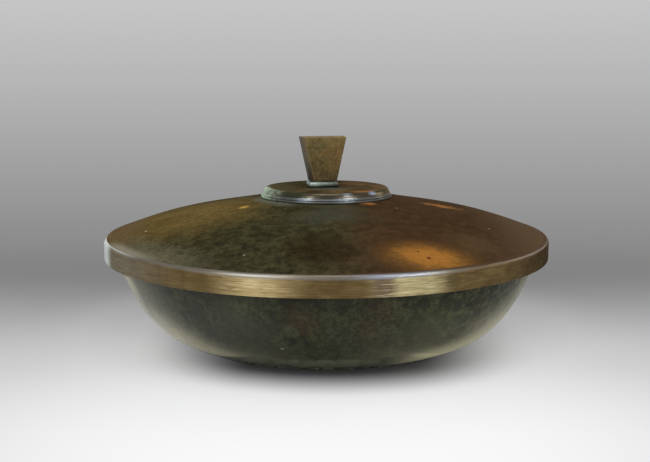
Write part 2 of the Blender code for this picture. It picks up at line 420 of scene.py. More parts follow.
# Lays a colour over another in spots, one after the other
def paintSpots(colour, over, place, spot, rough=None):
    for centre in spot["at"]:
        colour = blend(patch(place, centre, spot, rough), colour, over)
    return colour


# Lays a colour over another along a value: none at the first, its share at the second
def paintAlong(colour, over, value, run, how="MIX"):
    none, full, share = run
    return blend(fade(value, none, full, 0.0, share), colour, over, how)


def setBump(height, depth, strength):
    values = {"Strength": strength, "Distance": depth, "Height": height}
    return Wire.add(height.tree, "ShaderNodeBump", {}, values)


socketNames = {
    "colour": "Base Color", "roughness": "Roughness", "metallic": "Metallic", "normal": "Normal",
    "specular": "Specular IOR Level", "tint": "Specular Tint", "coat": "Coat Weight",
    "coatRough": "Coat Roughness", "coatBend": "Coat IOR",
}


def wireUp(surface, **links):
    for name, value in links.items():
        Wire.feed(surface.id_data, surface.inputs[socketNames[name]], value)


# Bowl: dark green-grey patina outside, a painted reflection of the pale floor low on its flanks, warmer
# inside
bowlLook = {
    "wall": 0.0030, "lipWidth": 0.0048, "lipAngle": 74.0, "baseAngle": 1.0, "basePull": 0.34,
    "lipPull": 0.72, "lipRound": 0.0011, "waver": 0.00022, "waverScale": 24.0, "seed": 2.0,
    "steps": 256, "brownShare": 0.6, "wearShare": 0.6,
    "dark": tone(29, 28, 19), "green": tone(57, 61, 38), "grey": tone(69, 71, 57),
    "brown": tone(73, 58, 34), "inside": tone(120, 98, 58), "insideDark": tone(70, 58, 38),
    "worn": tone(140, 142, 122), "cream": tone(240, 233, 193), "moss": tone(82, 86, 54),
    "base": tone(120, 122, 100),
    "pit": (0.42, 0.42, 0.38, 1), "shade": (0.3, 0.3, 0.28, 1),
    "cloud": {"scale": 34, "detail": 5, "rough": 0.62, "warp": 0.6},
    "mottle": {"scale": 150, "detail": 5, "rough": 0.66, "warp": 0.4},
    "fine": {"scale": 480, "detail": 5, "rough": 0.74},
    "greyCloud": {"scale": 44, "detail": 4, "rough": 0.6, "shift": (0.7, 0.2, 0.4)},
    "brownCloud": {"scale": 30, "detail": 4, "rough": 0.6, "shift": (0.3, 0.1, 0.7), "warp": 0.8},
    "wearGrain": {"scale": 300, "detail": 3, "rough": 0.6, "stretch": (1, 1, 2)},
    "turning": {"scale": 60, "detail": 2, "rough": 0.5, "stretch": (0.4, 0.4, 22)},
    "brownSpots": spots((0.0196, -0.1045, 0.0277), (0.0256, -0.1072, 0.0367),
                        (-0.0110, -0.1070, 0.0330),
                        reach=0.013, edge=0.011, ragged=0.014, share=0.8),
    "greenSpots": spots((0.0485, -0.0887, 0.0186), (-0.0389, -0.1041, 0.0391),
                        (0.0525, -0.0928, 0.0284), (0.0425, -0.0985, 0.0300),
                        reach=0.016, edge=0.014, ragged=0.02, share=0.7),
    "greySpots": spots((-0.0826, -0.061, 0.030), (-0.0430, -0.098, 0.024), (-0.088, -0.066, 0.046),
                       reach=0.034, edge=0.03, ragged=0.02, share=0.6),
    "mossSpots": spots((-0.0389, -0.1039, 0.0386), (-0.0193, -0.1021, 0.0233),
                       reach=0.012, edge=0.010, ragged=0.012),
    "darkSpot": spots((0.020, -0.103, 0.026), reach=0.040, edge=0.034, ragged=0.03, share=0.2),
    "scuffs": spots((0.0292, -0.0841, 0.0061), (-0.0205, -0.0977, 0.0169), (0.012, -0.0886, 0.0052),
                    reach=0.0017, edge=0.0013, ragged=0.002, stretch=(1, 1, 1.8), share=0.8),
    "mossRight": (0.012, 0.045), "mossFront": (0.0, -0.04), "lipShade": (0.0425, 0.0465, 0.7),
    "wearHeights": (0.0062, 0.0034), "coatLeft": (-0.075, -0.01, 0.9, 0.55),
    "coatRight": (0.03, 0.085, 1.0, 0.85), "greenBreak": (0.42, 0.58), "greyBreak": (0.5, 0.68),
    "greyMottle": (0.36, 0.6, 0.0, 0.6), "brownBreak": (0.54, 0.68), "brownMottle": (0.35, 0.6),
    "mossBreak": (0.46, 0.58, 0.0, 0.5), "pitBreak": (0.58, 0.43), "pitMottle": (0.42, 0.56, 0.4, 0.85),
    "wearBreak": (0.56, 0.7), "insideBreak": (0.4, 0.6),
}

# Where the pale light on the bowl's flanks starts and ends: metres, then the shares there
bellyLook = {
    "baseLine": (0.03, 0.058, 0.0105, 0.0058), "lineSoft": (-0.0008, 0.0008),
    "lineRight": (0.024, 0.042), "lowHeights": (0.024, 0.008), "lowSides": (0.0, 0.03, 0.02, 0.08),
    "lowRight": (0.024, 0.054, 0.0, 0.42), "baseMottle": (0.3, 0.6, 0.28, 0.6),
    "flank": 0.0285, "flankCurl": 0.000125, "flankLowest": 0.002,
    "shift": (-0.02, 0.02, 0.0, 0.006), "front": (-0.054, -0.020), "back": (0.055, -0.015),
    "heights": (0.034, 0.009, 0.15, 1.0), "mottle": (0.3, 0.55, 0.5, 0.8),
    "sides": (-0.02, 0.02, 0.92, 0.72), "dimFront": (-0.095, -0.03, 0.0, 0.05), "dimRight": (0.0, 0.03),
    "dimHeights": (0.036, 0.02), "lineGlow": (0.0038, 0.0010), "lineGlowSides": (0.036, 0.052),
    "lineGlowShares": (-0.03, 0.03, 0.35, 0.9), "limbFront": (-0.030, -0.008),
    "limbHeights": (0.03, 0.012), "limbSides": (-0.02, 0.02, 0.9, 0.65), "highFront": (-0.032, -0.010),
    "highSides": (-0.02, 0.02, 0.46, 0.25), "highHeights": (0.028, 0.041),
    "highLeft": (0.0, -0.03, 0.0, 0.34), "rimFront": (0.0, -0.03),
}


def bowlMottle(look, place, cloud, mottle, fine):
    x, y, z = place.axis("X"), place.axis("Y"), place.axis("Z")
    colour = blend(fade(mottle * 0.5 + cloud * 0.5, *look["greenBreak"]), look["dark"], look["green"])
    greyish = fade(grain(place, **look["greyCloud"]), *look["greyBreak"])
    greyish = greyish * fade(mottle, *look["greyMottle"])
    colour = blend(greyish, colour, look["grey"])
    brownish = fade(grain(place, **look["brownCloud"]), *look["brownBreak"])
    brownish = brownish * fade(mottle, *look["brownMottle"])
    brownish = brownish.maths("MAXIMUM", spotMask(place, look["brownSpots"], mottle))
    colour = blend(brownish * look["brownShare"], colour, look["brown"])
    colour = paintSpots(colour, look["green"], place, look["greenSpots"], mottle)
    mossy = fade(x, *look["mossRight"]) * fade(y, *look["mossFront"])
    mossy = mossy.maths("MAXIMUM", spotMask(place, look["mossSpots"], mottle))
    colour = blend(fade(mottle, *look["mossBreak"]) * mossy, colour, look["moss"])
    colour = paintSpots(colour, look["grey"], place, look["greySpots"], cloud)
    colour = paintSpots(colour, look["dark"], place, look["darkSpot"], cloud)
    pitted = fade(fine, *look["pitBreak"]) * fade(mottle * 0.4 + cloud * 0.6, *look["pitMottle"])
    colour = blend(pitted, colour, look["pit"], "MULTIPLY")
    return paintAlong(colour, look["shade"], z, look["lipShade"], "MULTIPLY")


def bowlBellyReflection(look, belly, colour, place, cloud, mottle):
    x, y, z = place.axis("X"), place.axis("Y"), place.axis("Z")
    side = x.maths("ABSOLUTE")
    line = fade(side, *belly["baseLine"])     # the upper edge of the worn base
    above = fade(z - line, *belly["lineSoft"]).maths("MAXIMUM", fade(x, *belly["lineRight"]))
    low = fade(z, *belly["lowHeights"])
    steep = low * low * low
    low = (steep * 0.6 + low * 0.4) * fade(side, *belly["lowSides"])
    # pale cream low on the flanks: painted reflection of the floor
    colour = blend((low + steep * steep * fade(x, *belly["lowRight"])) * above, colour, look["cream"])
    # the worn base, painted paler against the shade low on the bowl
    colour = blend((1 - above) * fade(mottle, *belly["baseMottle"]), colour, look["base"])
    # how far the wall is round the flank, nearer the front low down
    turned = y + belly["flank"] + belly["flankCurl"] / z.maths("MAXIMUM", belly["flankLowest"])
    # pale cream round the flanks, along the base's edge, at the limb and at the upper left: painted
    # reflection of the floor
    pale = fade(turned - fade(x, *belly["shift"]), *belly["front"]) * fade(turned, *belly["back"])
    pale = pale * fade(z, *belly["heights"]) * fade(mottle * 0.5 + cloud * 0.5, *belly["mottle"])
    dim = fade(turned, *belly["dimFront"]) * fade(x, *belly["dimRight"]) * fade(z, *belly["dimHeights"])
    pale = pale * fade(x, *belly["sides"]) + dim
    rim = fade(z - line, *belly["lineGlow"]) * fade(side, *belly["lineGlowSides"])
    rim = rim * fade(x, *belly["lineGlowShares"])
    limb = fade(turned, *belly["limbFront"]) * fade(z, *belly["limbHeights"]) * fade(x, *belly["limbSides"])
    high = fade(x, *belly["highSides"]) + fade(z, *belly["highHeights"]) * fade(x, *belly["highLeft"])
    rim = rim.maths("MAXIMUM", limb).maths("MAXIMUM", fade(turned, *belly["highFront"]) * high)
    pale = pale.maths("MAXIMUM", rim * fade(y, *belly["rimFront"]))
    return blend(pale * above, colour, look["cream"])


def bowlFinish(look, belly):
    material, surface, place = newFinish("bowlPatina")
    zone, x, z = zoneOf(place), place.axis("X"), place.axis("Z")
    cloud, mottle, fine = (grain(place, **look[name]) for name in ("cloud", "mottle", "fine"))
    colour = bowlMottle(look, place, cloud, mottle, fine)
    colour = bowlBellyReflection(look, belly, colour, place, cloud, mottle)
    wear = fade(z, *look["wearHeights"]) * fade(grain(place, **look["wearGrain"]), *look["wearBreak"])
    wear = wear.maths("MAXIMUM", spotMask(place, look["scuffs"], fine))
    colour = blend(wear * look["wearShare"], colour, look["worn"])
    ringed = grain(place, **look["turning"])
    rings = fade(cloud * 0.6 + ringed * 0.4, *look["insideBreak"])
    inner = blend(rings, look["insideDark"], look["inside"])
    wireUp(surface, colour=blend(zone, colour, inner), roughness=0.36 + (mottle - 0.5) * 0.24 + zone * 0.06,
           metallic=0.12 + zone * 0.58,
           normal=setBump(mottle * 0.7 + fine * 0.3, depth=0.00014, strength=0.45),
           coat=fade(x, *look["coatLeft"]) * fade(x, *look["coatRight"]), coatRough=0.08, coatBend=1.33,
           specular=0.0)
    return material


footLow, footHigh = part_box("bowl_foot_ring")
shellLow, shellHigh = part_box("bowl_shell")
footRadius, mouthRadius = footHigh.x, shellHigh.x


def bowlOutline(look):
    base, top = shellLow.z, shellHigh.z
    outside = pulledLine(
        (footRadius, base), look["baseAngle"], look["basePull"] * (mouthRadius - footRadius),
        (mouthRadius, top), look["lipAngle"], look["lipPull"] * (top - base), count=64)
    bore = mouthRadius - look["lipWidth"]
    floor = base + look["wall"]
    wall = [(min(radius, bore), height) for radius, height in insetLine(outside, look["wall"])[1:-1]]
    inside = [(bore, top), *reversed(wall), (footRadius, floor)]
    corners = [len(outside), len(outside) + 1]
    line = softCorners([(0.0, base), *outside, *inside, (0.0, floor)], corners, look["lipRound"])
    lip = max(range(len(line)), key=lambda index: line[index][1])
    return withInside(line, lip + 1)


bowlPatina = bowlFinish(bowlLook, bellyLook)
turnPiece("bowlShell", bowlOutline(bowlLook), bowlLook, bowlPatina, "bowl_shell", "bowl")


# Foot ring: worn, and painted paler against the shade under the bowl
footLook = {
    "width": 0.0060, "round": 0.0006, "waver": 0.0001, "seed": 3.0,
    "dark": tone(90, 90, 76), "pale": tone(150, 150, 132),
    "mottle": {"scale": 260, "detail": 4, "rough": 0.6},
    "paleBreak": (0.4, 0.62),
}


def footOutline(look):
    inner = footRadius - look["width"]
    corners = [(footRadius, footLow.z), (footRadius, footHigh.z), (inner, footHigh.z), (inner, footLow.z)]
    return closedLine(corners, look["round"], count=5)


def footFinish(look):
    material, surface, place = newFinish("wornAndLitFoot")
    mottle = grain(place, **look["mottle"])
    colour = blend(fade(mottle, *look["paleBreak"]), look["dark"], look["pale"])
    wireUp(surface, colour=colour, roughness=0.5, metallic=0.2,
           normal=setBump(mottle, depth=0.0001, strength=0.4))
    return material


wornAndLitFoot = footFinish(footLook)
turnPiece("footRing", footOutline(footLook), footLook, wornAndLitFoot, "bowl_foot_ring", "bowl")


# Seat ring: turned bronze under the lid
seatLook = {
    "spigotWall": 0.0024, "flange": 0.0024, "clearance": 0.0010, "ease": 0.0005,
    "bright": tone(150, 122, 74), "dull": tone(98, 80, 50),
    "cloud": {"scale": 40, "detail": 4, "rough": 0.6},
    "lines": {"scale": 60, "detail": 3, "rough": 0.6, "stretch": (1, 1, 60)},
    "brightBreak": (0.38, 0.62),
}


def seatFinish(look):
    material, surface, place = newFinish("turnedBronze")
    lines, cloud = grain(place, **look["lines"]), grain(place, **look["cloud"])
    colour = blend(fade(cloud * 0.5 + lines * 0.5, *look["brightBreak"]), look["dull"], look["bright"])
    wireUp(surface, colour=colour, roughness=0.34 + lines * 0.18, metallic=0.9,
           normal=setBump(lines, depth=0.00008, strength=0.5))
    return material


seatLow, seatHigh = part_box("lid_seat_ring")


def seatOutline(look):
    spigot = mouthRadius - bowlLook["lipWidth"] - look["clearance"]
    inner = spigot - look["spigotWall"]
    under = seatHigh.z - look["flange"]
    corners = [(seatHigh.x, seatHigh.z), (seatHigh.x, under), (spigot, under), (spigot, seatLow.z),
               (inner, seatLow.z), (inner, seatHigh.z)]
    return closedLine(corners, look["ease"], count=4)


turnedBronze = seatFinish(seatLook)
turnPiece("seatRing", seatOutline(seatLook), seatLook, turnedBronze,
          "lid_seat_ring", "lid_seat")


# What the pieces of the lid share: the slope and seam where dome meets band, the wall, the stud's bore
lidLook = {"slope": 20.8, "seam": 0.0003, "wall": 0.0022, "bore": 0.0028}


# Rim band: brushed golden bronze round the lid
bandLook = {
    "skirt": 0.0009, "ledge": 0.0012, "round": 0.0023, "lift": 0.0024, "ease": 0.0006, "steps": 320,
    "edgeBow": 0.1, "edgeShare": 0.35, "paleShare": 0.45, "shineShare": 0.75, "scratchShare": 0.07,
    "scratchShine": 0.6,
    "gold": tone(110, 92, 58), "brown": tone(88, 70, 43), "khaki": tone(199, 186, 140),
    "golden": tone(206, 183, 130), "edge": tone(146, 148, 148), "rosy": tone(152, 135, 121),
    "stain": tone(106, 92, 76), "green": tone(86, 80, 52), "bright": tone(228, 211, 165),
    "deep": tone(48, 35, 18), "end": tone(242, 248, 243), "dull": tone(142, 134, 116),
    "cool": tone(140, 146, 160), "seam": tone(54, 41, 26),
    "brush": {"scale": 40, "detail": 3, "rough": 0.7, "stretch": (1, 1, 45)},
    "scratch": {"scale": 260, "detail": 3, "rough": 0.65, "stretch": (0.4, 0.4, 7)},
    "cloud": {"scale": 60, "detail": 4, "rough": 0.6, "stretch": (1, 1, 1.5)},
    "goldenSpot": spots((-0.032, -0.1156, 0.0505), reach=0.027, edge=0.026, ragged=0.010),
    "khakiSpot": spots((0.0376, -0.1137, 0.049), reach=0.024, edge=0.018, ragged=0.012),
    "streak": spots((-0.0332, -0.1153, 0.0512),
                    reach=0.006, edge=0.005, ragged=0.004, stretch=(1, 1, 2), share=0.6),
    "stainSpot": spots((0.0253, -0.1172, 0.0498), reach=0.0082, edge=0.0062, ragged=0.006, share=0.9),
    "greenSpot": spots((0.0558, -0.1062, 0.0506), reach=0.0045, edge=0.003, ragged=0.005, share=0.7),
    "coolSpot": spots((0.0330, -0.1152, 0.0545), reach=0.029, edge=0.022),
    "deepRight": (0.080, 0.112, 0.9), "dullLeft": (-0.062, -0.105, 0.7), "endLeft": (-0.1068, -0.1122),
    "endFront": (-0.012, -0.032, 0.0, 0.9), "edgeLeft": (-0.05, -0.095, 0.0, 0.0008),
    "edgeRight": (0.06, 0.1, 0.0, 0.0002), "goldBreak": (0.36, 0.66), "brightBreak": (0.54, 0.66),
    "brownBreak": (0.5, 0.38, 0.0, 0.55),
    "edgeHeights": (0.0533, 0.0543), "paleSides": (0.085, 0.105), "rosyRight": (0.050, 0.072),
    "whiteLeft": (-0.086, -0.104), "seamRadii": (0.1196, 0.1188),
    "seamRight": (-0.06, -0.035, 0.0, 0.75), "dimRight": (0.08, 0.105, 0.0, 0.3),
}


# The upper edge, a pale bevel: wear with a painted highlight on it, cool at its middle, rosy at the right,
# white at the left end
def bandEdge(look, place, golden):
    x = place.axis("X")
    bow = x * x * look["edgeBow"] + fade(x, *look["edgeLeft"]) + fade(x, *look["edgeRight"])
    worn = fade(place.axis("Z") - bow, *look["edgeHeights"])
    cool = spotMask(place, look["coolSpot"])
    pale = golden.maths("MAXIMUM", cool).maths("MAXIMUM", fade(x.maths("ABSOLUTE"), *look["paleSides"]))
    edge = blend(fade(x, *look["rosyRight"]), blend(cool, look["edge"], look["cool"]), look["rosy"])
    edge = blend(fade(x, *look["whiteLeft"]), edge, look["end"])
    return worn, worn * (pale * look["paleShare"] + look["edgeShare"]), edge


def bandFinish(look):
    material, surface, place = newFinish("brushedBronze")
    x = place.axis("X")
    brush, scratch, cloud = (grain(place, **look[name]) for name in ("brush", "scratch", "cloud"))
    colour = blend(fade(cloud, *look["goldBreak"]), look["brown"], look["gold"])
    # golden and khaki fields: painted reflections of the lamps in the brushed band
    golden = spotMask(place, look["goldenSpot"], cloud)
    colour = blend(golden * look["shineShare"], colour, look["golden"])
    khaki = spotMask(place, look["khakiSpot"], cloud)
    colour = blend(khaki * look["shineShare"], colour, look["khaki"])
    # a bright streak: painted highlight
    colour = paintSpots(colour, look["bright"], place, look["streak"], scratch)
    colour = paintSpots(colour, look["stain"], place, look["stainSpot"], scratch)
    colour = paintSpots(colour, look["green"], place, look["greenSpot"], cloud)
    colour = paintAlong(colour, look["deep"], x, look["deepRight"])
    colour = paintAlong(colour, look["dull"], x, look["dullLeft"])
    # scratches are brighter inside the golden and khaki fields: painted highlight over real scratches
    shine = khaki.maths("MAXIMUM", golden) * look["scratchShine"] + look["scratchShare"]
    colour = blend(fade(scratch, *look["brightBreak"]) * shine, colour, look["bright"])
    colour = blend(fade(brush * 0.5 + scratch * 0.5, *look["brownBreak"]), colour, look["brown"])
    # white stripe at the band's left end: painted reflection
    endReflection = fade(x, *look["endLeft"]) * fade(place.axis("Y"), *look["endFront"])
    colour = blend(endReflection, colour, look["end"])
    # the pale upper edge: wear with a painted highlight on it
    worn, edgeWearAndHighlight, edge = bandEdge(look, place, golden)
    colour = blend(edgeWearAndHighlight, colour, edge)
    seam = fade(radiusOf(place), *look["seamRadii"]) * fade(x, *look["seamRight"])
    colour = blend(seam, colour, look["seam"])
    wireUp(surface, colour=colour, roughness=0.32 + brush * 0.16, specular=0.0,
           metallic=0.45 + worn * 0.05 - fade(x, *look["dimRight"]),
           normal=setBump(brush * 0.6 + scratch * 0.4, depth=0.00006, strength=0.5))
    return material


bandLow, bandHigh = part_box("lid_rim_band")


def bandOutline(look):
    outer, top, bottom = bandHigh.x, bandHigh.z, bandLow.z
    skirt = mouthRadius + look["skirt"]
    ledge, centre = skirt + look["ledge"], outer - look["round"]
    slope = math.radians(lidLook["slope"])
    rebate, centreHeight = centre + look["round"] * math.sin(slope), top - look["round"] * math.cos(slope)
    shelf, step = top - lidLook["wall"] - lidLook["seam"] * (1 - math.tan(slope)), bottom + look["lift"]
    start = (skirt, (bottom + step) / 2)
    foot = [start, (skirt, bottom), (outer, bottom), (outer, centreHeight)]
    return [
        start, *softCorners(foot, [1, 2], look["ease"], count=4)[1:-1],
        *arcLine((centre, centreHeight), look["round"], 0, 90 - lidLook["slope"], count=12),
        (rebate, shelf), (ledge, shelf), (ledge, step), (skirt, step), start,
    ]


brushedBronze = bandFinish(bandLook)
turnPiece("rimBand", bandOutline(bandLook), bandLook, brushedBronze,
          "lid_rim_band", "lid")


# Dome: ochre to green-black to brown patina over bronze, with painted warm light on the ochre at the left
amberAt = (0.0460, -0.0970, 0.0598)
domeLook = {
    "gap": 0.00004, "crownAngle": 11.0, "edgePull": 0.45, "crownPull": 0.54, "edgeRound": 0.0006,
    "waver": 0.00016, "waverScale": 40.0, "seed": 5.0, "steps": 256, "brownDrift": 0.05, "hazeDrift": 0.014,
    "black": tone(48, 46, 31), "olive": tone(72, 69, 46), "ochre": tone(117, 98, 56),
    "amber": tone(98, 81, 45), "haze": tone(102, 98, 78), "red": tone(44, 33, 21),
    "brown": tone(73, 54, 36), "umber": tone(61, 45, 30), "rim": tone(94, 76, 58),
    "line": tone(84, 60, 44), "green": tone(75, 77, 65), "copper": tone(166, 112, 60),
    "glow": tone(154, 106, 49), "glowSkirt": tone(116, 84, 43), "pit": tone(58, 36, 22),
    "pale": tone(190, 184, 160), "mist": tone(142, 136, 118), "glint": tone(200, 160, 82),
    "inside": tone(96, 78, 48), "bloom": tone(104, 106, 90), "leftRim": tone(112, 92, 64),
    "tan": tone(88, 71, 50),
    "speckle": (0.5, 0.5, 0.44, 1), "sheen": (0.75, 0.6, 0.4, 1.0),
    "cloud": {"scale": 28, "detail": 4, "rough": 0.6, "warp": 0.6},
    "mottle": {"scale": 170, "detail": 5, "rough": 0.66, "warp": 0.4},
    "fine": {"scale": 560, "detail": 3, "rough": 0.62},
    "ochreSpot": spots((-0.080, -0.020, 0.067),
                       reach=0.074, edge=0.055, ragged=0.05, stretch=(1, 1.15, 1)),
    "redSpot": spots((-0.002, -0.098, 0.0625), reach=0.024, edge=0.02, ragged=0.02, share=0.75),
    "greenSpot": spots((0.002, -0.050, 0.0725),
                       reach=0.022, edge=0.018, ragged=0.05, stretch=(0.8, 1.1, 1), share=0.55),
    "tanSpot": spots((0.0698, -0.0735, 0.0621), reach=0.020, edge=0.018, ragged=0.014, share=0.55),
    "skirtSpot": spots(amberAt, reach=0.031, edge=0.022, ragged=0.03, stretch=(1, 1.5, 1.5), share=0.85),
    "glowSpot": spots(amberAt, reach=0.020, edge=0.014, ragged=0.03, stretch=(1, 1.5, 1.5), share=0.9),
    "copperSpot": spots((0.0626, -0.0051, 0.0707),
                        reach=0.0125, edge=0.010, ragged=0.036, stretch=(0.9, 1.6, 1), share=0.8),
    "smallSpot": spots((0.0211, -0.0293, 0.0755),
                       reach=0.006, edge=0.0045, ragged=0.006, stretch=(1, 1.6, 1), share=0.8),
    "glintSpot": spots((-0.0432, -0.0254, 0.0729), reach=0.0042, edge=0.0038, ragged=0.002),
    "pits": spots((0.0462, -0.0985, 0.0595), (0.0418, -0.0935, 0.061),
                  reach=0.0013, edge=0.0008, ragged=0.0008),
    "specks": spots((0.0363, -0.0318, 0.0733), (0.0823, -0.0445, 0.0645), (-0.0373, -0.0982, 0.0609),
                    reach=0.0007, edge=0.0005, share=0.7),
    "tick": spots((-0.0923, -0.0395, 0.0624),
                  reach=0.0014, edge=0.0010, ragged=0.0012, stretch=(1.6, 0.6, 1), share=0.6),
    "brownRight": (-0.009, 0.035), "hazeRadii": (0.099, 0.114), "hazeLeft": (-0.042, -0.078),
    "hazeEnd": (-0.112, -0.09, 0.0, 0.85), "bloomRadii": (0.0430, 0.0370), "bloomLeft": (-0.013, -0.023),
    "bloomFront": (0.002, -0.010, 0.0, 0.85), "rimRight": (0.07, 0.112, 0.8),
    "rimLeft": (-0.090, -0.112, 0.7), "speckleSides": (-0.02, 0.03, 0.6, 0.34),
    "lineRadii": (0.1172, 0.1180), "lineRight": (-0.02, 0.03, 0.0, 0.7), "mistRadii": (0.1125, 0.1170),
    "mistLeft": (-0.072, -0.098), "mistFront": (-0.034, -0.056, 0.0, 0.85),
    "oliveBreak": (0.36, 0.64), "brownBreak": (0.38, 0.62), "ochreBreak": (0.4, 0.58),
    "speckleBreak": (0.62, 0.36), "insideBreak": (0.4, 0.6),
}


# The large fields of patina, with painted warm light on the left, painted reflections at the lower left edge
# and below the boss, and painted light round the boss's foot
def domeFields(look, place, cloud, mottle):
    x, y, reach = place.axis("X"), place.axis("Y"), radiusOf(place)
    colour = blend(fade(mottle, *look["oliveBreak"]), look["black"], look["olive"])
    righty = fade(x + (cloud - 0.5) * look["brownDrift"], *look["brownRight"])
    brown = blend(fade(mottle, *look["brownBreak"]), look["umber"], look["brown"])
    colour = blend(righty, colour, brown)
    # ochre field on the left: patina with painted warm light from that side
    ochre = blend(fade(mottle * 0.5 + cloud * 0.5, *look["ochreBreak"]), look["amber"], look["ochre"])
    colour = paintSpots(colour, ochre, place, look["ochreSpot"], cloud)
    # pale haze along the lower left edge: painted reflection
    haze = fade(reach + (mottle - 0.5) * look["hazeDrift"], *look["hazeRadii"])
    haze = haze * fade(x, *look["hazeLeft"]) * fade(x, *look["hazeEnd"])
    colour = blend(haze, colour, look["haze"])
    colour = paintSpots(colour, look["red"], place, look["redSpot"], cloud)
    # greenish grey below the boss: painted reflection
    colour = paintSpots(colour, look["green"], place, look["greenSpot"], cloud * 0.6 + mottle * 0.4)
    # pale crescent round the boss's foot on the left: painted light
    litCrescent = fade(reach, *look["bloomRadii"]) * fade(x, *look["bloomLeft"]) * fade(y, *look["bloomFront"])
    colour = blend(litCrescent, colour, look["bloom"])
    colour = paintAlong(colour, look["rim"], x, look["rimRight"])
    # paler, warmer far left rim: painted warm light
    colour = paintAlong(colour, look["leftRim"], x, look["rimLeft"])
    return paintSpots(colour, look["tan"], place, look["tanSpot"], cloud)


# Copper spots and the amber glow with painted reflection on them, a painted glint, pits, specks, the line
# along the edge and a painted highlight at its left
def domeMarks(look, colour, place, cloud, mottle, fine):
    x, y, reach = place.axis("X"), place.axis("Y"), radiusOf(place)
    # amber glow on the near right: painted reflection of a warm lamp over rubbed patina
    colour = paintSpots(colour, look["glowSkirt"], place, look["skirtSpot"], cloud * 0.5 + mottle * 0.5)
    colour = paintSpots(colour, look["glow"], place, look["glowSpot"], cloud * 0.4 + mottle * 0.6)
    # copper spots: rubbed copper with a painted reflection on it
    copper = spotMask(place, look["copperSpot"], mottle * 0.6 + fine * 0.4)
    copper = copper.maths("MAXIMUM", spotMask(place, look["smallSpot"], fine))
    colour = blend(copper, colour, look["copper"])
    # a bright glint: painted highlight
    colour = paintSpots(colour, look["glint"], place, look["glintSpot"], fine)
    colour = paintSpots(colour, look["pit"], place, look["pits"], fine)
    speckled = fade(fine, *look["speckleBreak"]) * fade(x, *look["speckleSides"])
    colour = blend(speckled, colour, look["speckle"], "MULTIPLY")
    colour = blend(fade(reach, *look["lineRadii"]) * fade(x, *look["lineRight"]), colour, look["line"])
    # pale along the left edge: painted highlight
    mist = fade(reach, *look["mistRadii"]) * fade(x, *look["mistLeft"]) * fade(y, *look["mistFront"])
    colour = blend(mist, colour, look["mist"])
    colour = paintSpots(colour, look["pale"], place, look["specks"])
    return paintSpots(colour, look["pale"], place, look["tick"], fine)


def domeFinish(look):
    material, surface, place = newFinish("domePatina")
    zone = zoneOf(place)
    cloud, mottle, fine = (grain(place, **look[name]) for name in ("cloud", "mottle", "fine"))
    colour = domeFields(look, place, cloud, mottle)
    colour = domeMarks(look, colour, place, cloud, mottle, fine)
    inner = blend(fade(cloud, *look["insideBreak"]), look["brown"], look["inside"])
    wireUp(surface, colour=blend(zone, colour, inner), roughness=0.34 + (mottle - 0.5) * 0.22 + zone * 0.08,
           metallic=0.14 + zone * 0.4,
           normal=setBump(mottle * 0.6 + fine * 0.4, depth=0.00012, strength=0.4),
           specular=0.0, tint=look["sheen"])
    return material


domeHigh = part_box("lid_dome")[1]
bossLow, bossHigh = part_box("knob_boss")


def domeOutline(look):
    edge = domeHigh.x + lidLook["seam"] - look["gap"]     # nearly closes the seam to the band
    rim = bandHigh.z + look["gap"] * math.tan(math.radians(lidLook["slope"]))
    crown, land, wall, bore = domeHigh.z, bossHigh.x, lidLook["wall"], lidLook["bore"]
    run = edge - land
    outside = pulledLine((edge, rim), 180 - lidLook["slope"], look["edgePull"] * run,
                         (land, crown), 180 - look["crownAngle"], look["crownPull"] * run, count=56)
    inside = insetLine(outside, wall)
    inside[0], inside[-1] = (edge, rim - wall), (land, crown - wall)
    start = (edge, rim - wall / 2)
    line = [start, *outside, (bore, crown), (bore, crown - wall), *reversed(inside), start]
    line = softCorners(line, [len(line) - 2], look["edgeRound"], count=5)
    return withInside(line, line.index((bore, crown - wall)))


domePatina = domeFinish(domeLook)
turnPiece("dome", domeOutline(domeLook), domeLook, domePatina, "lid_dome", "lid")


